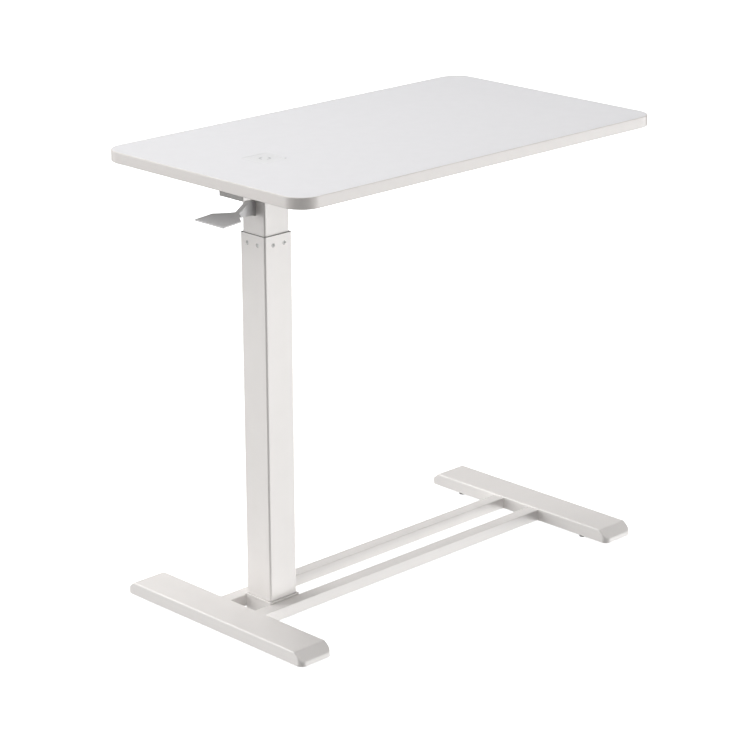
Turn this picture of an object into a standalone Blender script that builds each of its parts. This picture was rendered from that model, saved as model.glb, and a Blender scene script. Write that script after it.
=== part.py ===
"""Height-adjustable overbed side table: gas-spring column on a castered H base, with a cantilevered top.

The origin is on the floor under the middle of the tabletop. X runs along the top, away from the
column; Y runs along the feet; Z is up. The table stands at its lowest height.
"""

import math

import bmesh
import bpy
from mathutils import Matrix, Vector

# Driving dimensions, in metres.
TOP_LENGTH = 0.700
TOP_WIDTH = 0.400
TOP_THICKNESS = 0.016
TOP_CORNER = 0.032
TABLE_HEIGHT = 0.663
BAND_THICKNESS = 0.0015
LABEL_SIDE = 0.045
LABEL_THICKNESS = 0.0008

COLUMN_X = -0.2302
OUTER_SIDE = 0.050
OUTER_WALL = 0.0012
OUTER_CORNER = 0.0028
OUTER_TOP = 0.5615
NUB_DROP = 0.0132
NUB_OFFSET = 0.0100
NUB_RADIUS = 0.0025
GLIDE_DROP = 0.0040
GLIDE_HEIGHT = 0.0400
INNER_SIDE = 0.045
INNER_WALL = 0.0015
INNER_CORNER = 0.0022
STROKE = 0.320

FOOT_LENGTH = 0.369
FOOT_WIDTH = 0.058
FOOT_CORNER = 0.0095
FOOT_EDGE = 0.0018
FACET_RUN = 0.0150
FACET_DROP = 0.0119
FOOT_HEIGHT = 0.019
FOOT_WALL = 0.0017
FOOT_BOTTOM = 0.010
FOOT_X = (-0.3159, 0.3102)
BEAM_WIDTH = 0.0210
BEAM_HEIGHT = 0.0177
BEAM_WALL = 0.0015
BEAM_END_WALL = 0.006
BEAM_GAP = 0.0512

CASTER_Y = 0.127
CASTER_TRAIL = 0.008
CASTER_HEADING = math.radians(203)
WHEEL_RADIUS = 0.012
WHEEL_WIDTH = 0.0065
WHEEL_SPACING = 0.017

ARM_WIDTH = 0.047
ARM_CORNER = 0.0012
ARM_WALL = 0.0015
ARM_BOTTOM = 0.618
ARM_START = COLUMN_X - 0.0605
ARM_LENGTH = 0.400
PLATE_THICKNESS = 0.003

LEVER_WIDTH = 0.0088
LEVER_SHEET = 0.002
PIVOT_X = COLUMN_X - 0.016
PIVOT_Z = 0.598

GAP = 0.0003
RUNNING_GAP = 0.0001
ROUND_STEPS = 32

# Heights worked out from the driving dimensions.
UNDERSIDE = TABLE_HEIGHT - TOP_THICKNESS
BEAM_TOP = FOOT_BOTTOM + BEAM_HEIGHT
FOOT_TOP = FOOT_BOTTOM + FOOT_HEIGHT
ARM_TOP = UNDERSIDE - PLATE_THICKNESS - 2 * GAP
BASE_PLATE_BOTTOM = BEAM_TOP + GAP
BASE_PLATE_TOP = BASE_PLATE_BOTTOM + 0.0027
CROSS_TOP_UNDERSIDE = BEAM_TOP - 0.002
CROSS_BOTTOM = FOOT_BOTTOM - 0.003
SPRING_PLATE_BOTTOM = 0.570
SPRING_PLATE_TOP = SPRING_PLATE_BOTTOM + 0.006
INNER_TUBE_BOTTOM = 0.062


# Scene helpers.


def clear_scene():
    """Empties the startup scene."""
    for obj in list(bpy.data.objects):
        bpy.data.objects.remove(obj, do_unlink=True)


def collection(name, hidden=False):
    """A collection in the scene; a hidden one holds the cutters."""
    made = bpy.data.collections.new(name)
    bpy.context.scene.collection.children.link(made)
    made.hide_render = hidden
    return made


def material(name, color, roughness, metallic=0.0):
    """A Principled BSDF material with a plain colour."""
    made = bpy.data.materials.new(name)
    made.use_nodes = True
    made.diffuse_color = (*color, 1.0)
    shader = made.node_tree.nodes["Principled BSDF"]
    shader.inputs["Base Color"].default_value = (*color, 1.0)
    shader.inputs["Roughness"].default_value = roughness
    shader.inputs["Metallic"].default_value = metallic
    return made


def empty(name, location, heading=0.0, parent=None):
    """An empty on a joint's axis; the pieces that move with it are its children."""
    made = bpy.data.objects.new(name, None)
    made.empty_display_size = 0.02
    PARTS.objects.link(made)
    made.location = location
    made.rotation_euler.z = heading
    if parent:
        made.parent = parent
        bpy.context.view_layer.update()
        made.matrix_parent_inverse = parent.matrix_world.inverted()
    bpy.context.view_layer.update()
    return made


def place(obj, surface, parent=None):
    """Gives a piece its material and, keeping its place, its parent."""
    obj.data.materials.clear()
    obj.data.materials.append(surface)
    if parent:
        obj.parent = parent
        bpy.context.view_layer.update()
        obj.matrix_parent_inverse = parent.matrix_world.inverted()
    return obj


def mesh_object(name, bm, matrix=None):
    """An object from a bmesh, with its faces turned outwards."""
    if matrix is not None:
        bmesh.ops.transform(bm, matrix=matrix, verts=bm.verts)
    bmesh.ops.recalc_face_normals(bm, faces=bm.faces)
    data = bpy.data.meshes.new(name)
    bm.to_mesh(data)
    bm.free()
    made = bpy.data.objects.new(name, data)
    PARTS.objects.link(made)
    return made


# Shape helpers.


def arc(center, radius, start, end, steps):
    """Points along an arc, from one angle to another."""
    angles = [start + (end - start) * i / steps for i in range(steps + 1)]
    return [(center[0] + radius * math.cos(a), center[1] + radius * math.sin(a)) for a in angles]


def rounded_rect(size_x, size_y, radius, steps=5):
    """The outline of a rectangle with round corners, about the origin."""
    across, along = size_x / 2 - radius, size_y / 2 - radius
    points = []
    for turn, (x, y) in enumerate(((across, along), (-across, along), (-across, -along), (across, -along))):
        start = turn * math.pi / 2
        points += arc((x, y), radius, start, start + math.pi / 2, steps)
    return points


def circle(radius, steps=ROUND_STEPS, center=(0.0, 0.0)):
    """The outline of a circle."""
    return arc(center, radius, 0.0, 2 * math.pi * (steps - 1) / steps, steps - 1)


def box_outline(x0, x1, y0, y1):
    """The outline of a plain rectangle."""
    return [(x0, y0), (x1, y0), (x1, y1), (x0, y1)]


def extrusion(name, outlines, depth, matrix):
    """A flat outline, with any further outlines as holes, extruded from z = 0 to depth, then placed."""
    curve = bpy.data.curves.new(name, "CURVE")
    curve.dimensions = "2D"
    curve.fill_mode = "BOTH"
    curve.extrude = depth / 2
    for outline in outlines:
        spline = curve.splines.new("POLY")
        spline.points.add(len(outline) - 1)
        for point, (x, y) in zip(spline.points, outline):
            point.co = (x, y, 0.0, 1.0)
        spline.use_cyclic_u = True
    flat = bpy.data.objects.new(name, curve)
    PARTS.objects.link(flat)
    bpy.context.view_layer.update()
    data = bpy.data.meshes.new_from_object(flat.evaluated_get(bpy.context.evaluated_depsgraph_get()))
    bpy.data.objects.remove(flat, do_unlink=True)
    bpy.data.curves.remove(curve)
    bm = bmesh.new()
    bm.from_mesh(data)
    bpy.data.meshes.remove(data)
    bmesh.ops.remove_doubles(bm, verts=bm.verts, dist=1e-6)
    bmesh.ops.translate(bm, verts=bm.verts, vec=(0.0, 0.0, depth / 2))
    return mesh_object(name, bm, matrix)


def at(x=0.0, y=0.0, z=0.0):
    """A placing matrix that only moves."""
    return Matrix.Translation((x, y, z))


# An outline's (x, y) stands in the XZ plane and its depth runs along +Y.
SIDE_VIEW = Matrix(((1, 0, 0, 0), (0, 0, 1, 0), (0, 1, 0, 0), (0, 0, 0, 1)))
# An outline's (x, y) stands in the YZ plane and its depth runs along +X.
END_VIEW = Matrix(((0, 0, 1, 0), (1, 0, 0, 0), (0, 1, 0, 0), (0, 0, 0, 1)))


def block(name, low, high):
    """A box between two corners."""
    bm = bmesh.new()
    size = Vector(high) - Vector(low)
    middle = (Vector(high) + Vector(low)) / 2
    bmesh.ops.create_cube(bm, size=1.0, matrix=Matrix.Translation(middle) @ Matrix.Diagonal((*size, 1.0)))
    return mesh_object(name, bm)


def rod(name, radius, start, end, steps=ROUND_STEPS):
    """A solid cylinder between two points."""
    start, end = Vector(start), Vector(end)
    turn = (end - start).to_track_quat("Z", "Y").to_matrix().to_4x4()
    bm = bmesh.new()
    bmesh.ops.create_cone(
        bm,
        cap_ends=True,
        segments=steps,
        radius1=radius,
        radius2=radius,
        depth=(end - start).length,
        matrix=Matrix.Translation((start + end) / 2) @ turn,
    )
    return mesh_object(name, bm)


def turned(name, profile, matrix=None, steps=ROUND_STEPS):
    """A solid of revolution about Z from a closed (radius, z) profile that stays off the axis."""
    bm = bmesh.new()
    points = [bm.verts.new((radius, 0.0, z)) for radius, z in profile]
    for i, point in enumerate(points):
        bm.edges.new((point, points[(i + 1) % len(points)]))
    data = bpy.data.meshes.new(name)
    bm.to_mesh(data)
    bm.free()
    made = bpy.data.objects.new(name, data)
    PARTS.objects.link(made)
    screw = made.modifiers.new("turn", "SCREW")
    screw.steps = steps
    screw.render_steps = steps
    screw.use_merge_vertices = True
    screw.merge_threshold = 1e-6
    return apply_modifiers(made, matrix)


def apply_modifiers(obj, matrix=None):
    """Bakes an object's modifiers into its mesh."""
    bpy.context.view_layer.update()
    data = bpy.data.meshes.new_from_object(obj.evaluated_get(bpy.context.evaluated_depsgraph_get()))
    name = obj.name
    bm = bmesh.new()
    bm.from_mesh(data)
    bpy.data.meshes.remove(data)
    bpy.data.objects.remove(obj, do_unlink=True)
    return mesh_object(name, bm, matrix)


def combine(obj, tool, operation):
    """Cuts a tool from an object, or joins it on, and moves the tool to the cutters."""
    PARTS.objects.unlink(tool)
    CUTTERS.objects.link(tool)
    tool.name = "tool_" + tool.name
    tool.hide_render = True
    tool.display_type = "WIRE"
    change = obj.modifiers.new(operation.lower(), "BOOLEAN")
    change.operation = operation
    change.solver = "EXACT"
    change.object = tool
    return obj


def cut(obj, *tools):
    for tool in tools:
        combine(obj, tool, "DIFFERENCE")
    return obj


def join(obj, *tools):
    for tool in tools:
        combine(obj, tool, "UNION")
    return obj


def round_edges(obj, width, segments=2, angle=40.0):
    """Rounds every edge sharper than an angle."""
    bevel = obj.modifiers.new("round", "BEVEL")
    bevel.width = width
    bevel.segments = segments
    bevel.limit_method = "ANGLE"
    bevel.angle_limit = math.radians(angle)
    return obj


def screw_fastener(name, head_at, direction, head_radius, head_height, shank_radius, length):
    """A pan-head screw: its head's bearing face is at head_at and its shank runs along direction."""
    profile = [(0.0002, -head_height), (head_radius * 0.7, -head_height), (head_radius, -head_height * 0.45)]
    profile += [(head_radius, 0.0), (shank_radius, 0.0), (shank_radius, length - shank_radius * 0.5)]
    profile += [(shank_radius * 0.5, length), (0.0002, length)]
    turn = Vector(direction).to_track_quat("Z", "Y").to_matrix().to_4x4()
    return turned(name, profile, Matrix.Translation(head_at) @ turn, steps=20)


# The table's top and its support.


def build_tabletop():
    """The laminated board, with a shallow pocket for the label."""
    shrink = 2 * (BAND_THICKNESS + GAP / 2)
    outline = rounded_rect(TOP_LENGTH - shrink, TOP_WIDTH - shrink, TOP_CORNER - shrink / 2, 10)
    board = extrusion("tabletop", [outline], TOP_THICKNESS, at(z=UNDERSIDE))
    half = LABEL_SIDE / 2
    pocket = LABEL_THICKNESS + GAP
    low = (COLUMN_X - half, -half, TABLE_HEIGHT - pocket)
    high = (COLUMN_X + half, half, TABLE_HEIGHT + pocket)
    cut(board, block("label_pocket", low, high))
    return place(board, LAMINATE, LIFT)


def build_edge_band():
    """The plastic band round the board's edge."""
    outer = rounded_rect(TOP_LENGTH, TOP_WIDTH, TOP_CORNER, 10)
    inset = 2 * BAND_THICKNESS
    inner = rounded_rect(TOP_LENGTH - inset, TOP_WIDTH - inset, TOP_CORNER - BAND_THICKNESS, 10)
    band = extrusion("edge_band", [outer, inner], TOP_THICKNESS, at(z=UNDERSIDE))
    round_edges(band, 0.0006, 2, 60)
    return place(band, EDGE_PLASTIC, LIFT)


def build_label():
    """The square film label that lies in the board's pocket, over the column."""
    side = LABEL_SIDE - 2 * GAP
    outline = rounded_rect(side, side, 0.0015, 3)
    label_at = at(COLUMN_X, 0, TABLE_HEIGHT - LABEL_THICKNESS)
    label = extrusion("top_label", [outline], LABEL_THICKNESS, label_at)
    return place(label, LABEL_FILM, LIFT)


def build_support_arm():
    """The rectangular tube under the top, with its end plugs."""
    height = ARM_TOP - ARM_BOTTOM
    outer = rounded_rect(ARM_WIDTH, height, ARM_CORNER, 3)
    room = 2 * ARM_WALL
    inner = rounded_rect(ARM_WIDTH - room, height - room, 0.0005, 2)
    middle = ARM_BOTTOM + height / 2
    arm = extrusion("support_arm", [outer, inner], ARM_LENGTH, at(ARM_START, 0, middle) @ END_VIEW)
    place(arm, WHITE_STEEL, LIFT)
    stem = rounded_rect(ARM_WIDTH - room - 2 * GAP, height - room - 2 * GAP, 0.0005, 2)
    flange, tongue_length = 0.0015, 0.0105
    ends = (("arm_plug_column_end", ARM_START, -1), ("arm_plug_far_end", ARM_START + ARM_LENGTH, 1))
    for name, x, way in ends:
        outside = x + way * GAP
        start = min(outside, outside + way * flange)
        plug = extrusion(name, [outer], flange, at(start, 0, middle) @ END_VIEW)
        tongue_start = outside - 0.010 if way > 0 else outside - 0.0005
        tongue_at = at(tongue_start, 0, middle) @ END_VIEW
        tongue = extrusion(name + "_tongue", [stem], tongue_length, tongue_at)
        place(join(plug, tongue), GREY_PLASTIC, LIFT)


def build_mounting_plates():
    """Two flat bars across the arm, each screwed up into the board."""
    low_z = ARM_TOP + GAP
    for end, x in (("near", COLUMN_X + 0.030), ("far", COLUMN_X + 0.300)):
        name = "mounting_bar_" + end
        bar = extrusion(name, [rounded_rect(0.034, 0.220, 0.005)], PLATE_THICKNESS, at(x, 0, low_z))
        for side, y in (("front", -0.095), ("rear", 0.095)):
            cut(bar, rod(f"{name}_hole_{side}", 0.0026, (x, y, low_z - 0.01), (x, y, low_z + 0.01), 24))
            pilot_at = at(x, y, UNDERSIDE - 0.0002)
            pilot = extrusion(f"{name}_pilot_{side}", [circle(0.0022, 20)], 0.0122, pilot_at)
            cut(bpy.data.objects["tabletop"], pilot)
            screw_name = f"wood_screw_{end}_{side}"
            seat = (x, y, low_z - GAP)
            screw = screw_fastener(screw_name, seat, (0, 0, 1), 0.0045, 0.0026, 0.0020, 0.0145)
            place(screw, ZINC_STEEL, LIFT)
        place(bar, WHITE_STEEL, LIFT)


# The telescopic column.


def square_tube(name, side, wall, low, high, corner):
    """An upright square tube round the column's axis."""
    outer = rounded_rect(side, side, corner, 4)
    inner = rounded_rect(side - 2 * wall, side - 2 * wall, max(corner - wall, 0.0005), 4)
    return extrusion(name, [outer, inner], high - low, at(COLUMN_X, 0, low))


def build_inner_tube():
    """The tube that rises, with a slot for the lever."""
    top = ARM_BOTTOM - GAP
    tube = square_tube("inner_tube", INNER_SIDE, INNER_WALL, INNER_TUBE_BOTTOM, top, INNER_CORNER)
    slot_half = LEVER_WIDTH / 2 + 0.0006
    face = COLUMN_X - INNER_SIDE / 2
    slot = block("lever_slot", (face - 0.005, -slot_half, 0.5875), (face + 0.005, slot_half, 0.6145))
    return place(cut(tube, slot), WHITE_STEEL, LIFT)


def build_outer_tube():
    """The fixed tube, with two holes in each face that hold the glide."""
    tube = square_tube("outer_tube", OUTER_SIDE, OUTER_WALL, BASE_PLATE_TOP + GAP, OUTER_TOP, OUTER_CORNER)
    middle = Vector((COLUMN_X, 0, OUTER_TOP - NUB_DROP))
    reach = OUTER_SIDE
    for side, offset in (("a", -NUB_OFFSET), ("b", NUB_OFFSET)):
        across_x = (Vector((-reach, offset, 0)), Vector((reach, offset, 0)))
        across_y = (Vector((offset, -reach, 0)), Vector((offset, reach, 0)))
        for axis, (start, end) in (("x", across_x), ("y", across_y)):
            cut(tube, rod(f"hole_{axis}_{side}", NUB_RADIUS + GAP, middle + start, middle + end, 24))
    return place(tube, WHITE_STEEL)


def build_glides():
    """The plastic sleeve in the outer tube's mouth, and the shoe on the inner tube's foot."""
    outside = OUTER_SIDE - 2 * OUTER_WALL - 4 * RUNNING_GAP
    outside_outline = rounded_rect(outside, outside, OUTER_CORNER - OUTER_WALL - 2 * RUNNING_GAP, 4)
    bore = INNER_SIDE + 2 * RUNNING_GAP
    bore_outline = rounded_rect(bore, bore, INNER_CORNER, 4)
    sleeve_at = at(COLUMN_X, 0, OUTER_TOP - GLIDE_DROP - GLIDE_HEIGHT)
    sleeve = extrusion("upper_glide", [outside_outline, bore_outline], GLIDE_HEIGHT, sleeve_at)
    middle = Vector((COLUMN_X, 0, OUTER_TOP - NUB_DROP))
    for face in range(4):
        facing = Matrix.Rotation(face * math.pi / 2, 3, "Z")
        for i in (-1, 1):
            start = middle + facing @ Vector((outside / 2 - 0.0004, i * NUB_OFFSET, 0))
            end = middle + facing @ Vector((OUTER_SIDE / 2 + 0.0002, i * NUB_OFFSET, 0))
            join(sleeve, rod(f"nub_{face}_{i + 1}", NUB_RADIUS, start, end, 16))
    place(sleeve, GLIDE_PLASTIC)

    opening = rounded_rect(0.0345, 0.0345, 0.002, 4)
    shoe_height, collar_overlap = 0.006, 0.003
    shoe_top = INNER_TUBE_BOTTOM - GAP
    shoe_at = at(COLUMN_X, 0, shoe_top - shoe_height)
    shoe = extrusion("lower_glide", [outside_outline, opening], shoe_height, shoe_at)
    collar_side = INNER_SIDE - 2 * INNER_WALL - 2 * RUNNING_GAP
    collar_outline = rounded_rect(collar_side, collar_side, INNER_CORNER - INNER_WALL - 2 * RUNNING_GAP, 4)
    collar_at = at(COLUMN_X, 0, shoe_top - collar_overlap)
    collar = extrusion("lower_glide_collar", [collar_outline, opening], 0.018, collar_at)
    place(join(shoe, collar), GLIDE_PLASTIC, LIFT)


def build_gas_spring():
    """The lockable gas spring: cylinder, guide, piston, rod, release pin and their fixings."""
    x = COLUMN_X
    low = INNER_TUBE_BOTTOM + 0.004
    neck_low, neck_top = SPRING_PLATE_BOTTOM - 0.004, 0.586
    wall_in, wall_out = 0.0125, 0.0140
    pin_bore = 0.0027
    cylinder = [(wall_in, low), (wall_out, low), (wall_out, neck_low - 0.002), (wall_out - 0.002, neck_low)]
    cylinder += [(0.0069, neck_low), (0.0069, neck_top - 0.0005), (0.0064, neck_top), (pin_bore, neck_top)]
    cylinder += [(pin_bore, neck_low - 0.006), (wall_in, neck_low - 0.006)]
    place(turned("gas_spring_cylinder", cylinder, at(x)), DARK_STEEL, LIFT)

    rod_radius = 0.005
    rim_low, rim_top, guide_top = low - GAP - 0.003, low - GAP, low + 0.009
    guide_inside, guide_outside = rod_radius + RUNNING_GAP, wall_in - RUNNING_GAP
    guide = [(guide_inside, rim_low), (wall_out, rim_low), (wall_out, rim_top), (guide_outside, rim_top)]
    guide += [(guide_outside, guide_top), (guide_inside, guide_top)]
    place(turned("gas_spring_guide", guide, at(x)), GLIDE_PLASTIC, LIFT)

    piston_low = low + STROKE + 0.024
    piston_rod = rod("piston_rod", rod_radius, (x, 0, 0.0195), (x, 0, piston_low))
    place(piston_rod, CHROME)
    piston = rod("piston", wall_in - RUNNING_GAP, (x, 0, piston_low + GAP), (x, 0, piston_low + 0.010))
    place(piston, ZINC_STEEL)
    clip_inside, clip_outside = rod_radius + RUNNING_GAP, 0.0095
    clip = [(clip_inside, 0.0225), (clip_outside, 0.0225), (clip_outside, 0.0240), (clip_inside, 0.0240)]
    place(turned("rod_clip", clip, at(x)), ZINC_STEEL)

    pin = [(0.0002, neck_low - 0.010), (0.0025, neck_low - 0.010), (0.0025, 0.5865), (0.0015, 0.5880)]
    pin += [(0.0015, 0.5895), (0.0002, 0.5895)]
    place(turned("release_pin", pin, at(x), 24), CHROME, PRESS)

    side = INNER_SIDE - 2 * INNER_WALL - 2 * GAP
    thick = SPRING_PLATE_TOP - SPRING_PLATE_BOTTOM
    neck_hole = circle(0.0072)
    plate_outline = rounded_rect(side, side, 0.002, 4)
    plate = extrusion("spring_plate", [plate_outline, neck_hole], thick, at(x, 0, SPRING_PLATE_BOTTOM))
    place(plate, ZINC_STEEL, LIFT)
    nut = extrusion("spring_nut", [circle(0.0127, 6), neck_hole], 0.006, at(x, 0, SPRING_PLATE_TOP + GAP))
    place(nut, ZINC_STEEL, LIFT)


# The release lever.


def lofted_paddle():
    """The flat hand paddle: a strip whose half width and height change along its length."""
    neck_x, flare_x, tip_x = COLUMN_X - 0.0505, COLUMN_X - 0.0700, COLUMN_X - 0.1018
    neck_z, flare_z, tip_z = 0.5970, 0.5940, 0.5917
    wide, narrow, corner = 0.0293, LEVER_WIDTH / 2, 0.0015
    stations = [(neck_x + 0.004, narrow, neck_z + 0.0026), (neck_x, narrow, neck_z)]
    for i in range(1, 8):
        share = i / 8
        half = narrow + (wide - narrow) * share**1.25
        stations.append((neck_x + (flare_x - neck_x) * share, half, neck_z + (flare_z - neck_z) * share))
    stations.append((flare_x, wide, flare_z))
    stations += [(tip_x + corner, wide, tip_z + 0.0001), (tip_x, wide - corner, tip_z)]
    bm = bmesh.new()
    rings = []
    for x, half, z in stations:
        corners = ((half, z), (half, z - LEVER_SHEET), (-half, z - LEVER_SHEET), (-half, z))
        rings.append([bm.verts.new((x, y, height)) for y, height in corners])
    for ring, after in zip(rings, rings[1:]):
        for i in range(4):
            bm.faces.new((ring[i], ring[(i + 1) % 4], after[(i + 1) % 4], after[i]))
    bm.faces.new(rings[0])
    bm.faces.new(rings[-1])
    return mesh_object("paddle", bm)


def build_lever():
    """The pressed lever: a channel that runs into the inner tube, with a flat paddle outside it."""
    x = COLUMN_X
    outline = [(x - 0.0505, 0.5970), (x - 0.0500, 0.5948), (x - 0.0478, 0.5898), (x + 0.0060, 0.5898)]
    outline += [(x + 0.0060, 0.5980), (x - 0.0080, 0.6070), (x - 0.0140, 0.6110), (x - 0.0290, 0.6110)]
    half = LEVER_WIDTH / 2
    lever = extrusion("release_lever", [outline], LEVER_WIDTH, at(y=-half) @ SIDE_VIEW)
    web = 0.0018
    hollow = [(x - 0.0440, 0.5800), (x - 0.0040, 0.5800), (x - 0.0040, 0.6030), (x - 0.0140, 0.6088)]
    hollow += [(x - 0.0285, 0.6088), (x - 0.0440, 0.5986)]
    channel = extrusion("lever_hollow", [hollow], LEVER_WIDTH - 2 * web, at(y=web - half) @ SIDE_VIEW)
    pivot = Vector((PIVOT_X, 0, PIVOT_Z))
    across = Vector((0, INNER_SIDE, 0))
    join(lever, lofted_paddle())
    cut(lever, channel, rod("lever_bore", 0.0026, pivot - across, pivot + across, 24))
    place(lever, WHITE_STEEL, LEVER)
    half_pin = Vector((0, INNER_SIDE / 2 - INNER_WALL - GAP, 0))
    place(rod("lever_pivot_pin", 0.0025, pivot - half_pin, pivot + half_pin, 24), ZINC_STEEL, LIFT)


# The base.


def foot_shell(name, x):
    """One foot: a thin pressed cover, open underneath, with a sloping facet at each end."""
    bm = bmesh.new()
    outline = rounded_rect(FOOT_WIDTH, FOOT_LENGTH, FOOT_CORNER, 5)
    floor = [bm.verts.new((px, py, 0.0)) for px, py in outline]
    face = bm.faces.new(floor)
    raised = bmesh.ops.extrude_face_region(bm, geom=[face])
    top = [item for item in raised["geom"] if isinstance(item, bmesh.types.BMVert)]
    bmesh.ops.translate(bm, verts=top, vec=(0, 0, FOOT_HEIGHT))
    for way in (-1, 1):
        slope = Vector((0, way * FACET_DROP, FACET_RUN)).normalized()
        edge = Vector((0, way * (FOOT_LENGTH / 2 - FACET_RUN), FOOT_HEIGHT))
        geometry = list(bm.verts) + list(bm.edges) + list(bm.faces)
        made = bmesh.ops.bisect_plane(bm, geom=geometry, plane_co=edge, plane_no=slope, clear_outer=True)
        rim = [item for item in made["geom_cut"] if isinstance(item, bmesh.types.BMEdge)]
        bmesh.ops.contextual_create(bm, geom=rim)
    bmesh.ops.recalc_face_normals(bm, faces=bm.faces)
    under = [face for face in bm.faces if face.normal.z < -0.9]
    bmesh.ops.delete(bm, geom=under, context="FACES_ONLY")
    shell = mesh_object(name, bm, at(x, 0, FOOT_BOTTOM))
    round_edges(shell, FOOT_EDGE, 2, 25)
    skin = shell.modifiers.new("skin", "SOLIDIFY")
    skin.thickness = FOOT_WALL
    skin.offset = -1
    skin.use_even_offset = True
    return shell


def beam_y(side):
    return side * (BEAM_GAP + BEAM_WIDTH) / 2


def build_base():
    """The two feet, the two beams between them, the cross member and what bolts them together."""
    start = FOOT_X[0] + FOOT_WIDTH / 2 + 2 * GAP
    end = FOOT_X[1] - FOOT_WIDTH / 2 - 2 * GAP
    bolt_z = FOOT_BOTTOM + BEAM_HEIGHT / 2
    feet = {"left": foot_shell("foot_column_end", FOOT_X[0]), "right": foot_shell("foot_far_end", FOOT_X[1])}
    for name, side in (("front", -1), ("rear", 1)):
        y = beam_y(side)
        outside = rounded_rect(BEAM_WIDTH, BEAM_HEIGHT, 0.0012, 2)
        tube = extrusion("beam_" + name, [outside], end - start, at(start, y, bolt_z) @ END_VIEW)
        inside = rounded_rect(BEAM_WIDTH - 2 * BEAM_WALL, BEAM_HEIGHT - 2 * BEAM_WALL, 0.0005, 2)
        hollow_at = at(start + BEAM_END_WALL, y, bolt_z) @ END_VIEW
        hollow = extrusion("beam_hollow_" + name, [inside], end - start - 2 * BEAM_END_WALL, hollow_at)
        tapped = rod("beam_tapped_" + name, 0.0031, (start - 0.01, y, bolt_z), (end + 0.01, y, bolt_z), 20)
        place(cut(tube, hollow, tapped), WHITE_STEEL)
        for foot, x, way in (("left", start, 1), ("right", end, -1)):
            wall_inside = x - way * (FOOT_WALL + 3 * GAP)
            hole_start = (x - way * 0.006, y, bolt_z)
            hole_end = (x + way * 0.002, y, bolt_z)
            cut(feet[foot], rod(f"foot_hole_{foot}_{name}", 0.0033, hole_start, hole_end, 20))
            bolt_name = f"foot_bolt_{foot}_{name}"
            seat = (wall_inside - way * GAP, y, bolt_z)
            place(screw_fastener(bolt_name, seat, (way, 0, 0), 0.0055, 0.0035, 0.0028, 0.010), ZINC_STEEL)
    for shell in feet.values():
        place(shell, WHITE_STEEL)
    build_column_foot()


def build_column_foot():
    """The cross member between the beams, the plate under the column and its four bolts."""
    half, wall = 0.0265, 0.002
    low, high = CROSS_BOTTOM, BEAM_TOP
    outline = [(-half, low), (-half, high), (half, high), (half, low), (half - wall, low)]
    outline += [(half - wall, high - wall), (wall - half, high - wall), (wall - half, low)]
    width = BEAM_GAP - 2 * GAP
    cross = extrusion("cross_member", [outline], width, at(COLUMN_X, -width / 2) @ SIDE_VIEW)
    side = 0.0550
    thick = BASE_PLATE_TOP - BASE_PLATE_BOTTOM
    plate_at = at(COLUMN_X, 0, BASE_PLATE_BOTTOM)
    plate_outline = rounded_rect(side, side, 0.002, 3)
    plate = extrusion("column_base_plate", [plate_outline, circle(0.0052)], thick, plate_at)
    cut(cross, rod("rod_hole", 0.0052, (COLUMN_X, 0, 0.020), (COLUMN_X, 0, 0.032)))
    for i, (sx, sy) in enumerate(((-1, -1), (1, -1), (1, 1), (-1, 1)), 1):
        x, y = COLUMN_X + sx * 0.0150, sy * 0.0150
        for body in (cross, plate):
            cut(body, rod(f"bolt_hole_{body.name}_{i}", 0.0033, (x, y, 0.020), (x, y, 0.034), 20))
        seat = (x, y, CROSS_TOP_UNDERSIDE - GAP)
        place(screw_fastener(f"column_bolt_{i}", seat, (0, 0, 1), 0.0055, 0.0038, 0.0028, 0.009), ZINC_STEEL)
    place(cross, WHITE_STEEL)
    place(plate, WHITE_STEEL)


def wheel_profile():
    """Half section of one caster wheel, tread outwards, with its outer face dished."""
    half, tread = WHEEL_WIDTH / 2, WHEEL_RADIUS
    profile = [(0.0021, -half), (tread - 0.0012, -half)]
    profile += arc((tread - 0.0012, -half + 0.0012), 0.0012, -math.pi / 2, 0.0, 2)[1:]
    profile += arc((tread - 0.0012, half - 0.0012), 0.0012, 0.0, math.pi / 2, 2)
    profile += [(tread - 0.0030, half), (tread - 0.0036, half - 0.0010), (0.0045, half - 0.0010)]
    profile += [(0.0040, half - 0.0002), (0.0021, half - 0.0002)]
    return profile


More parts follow.
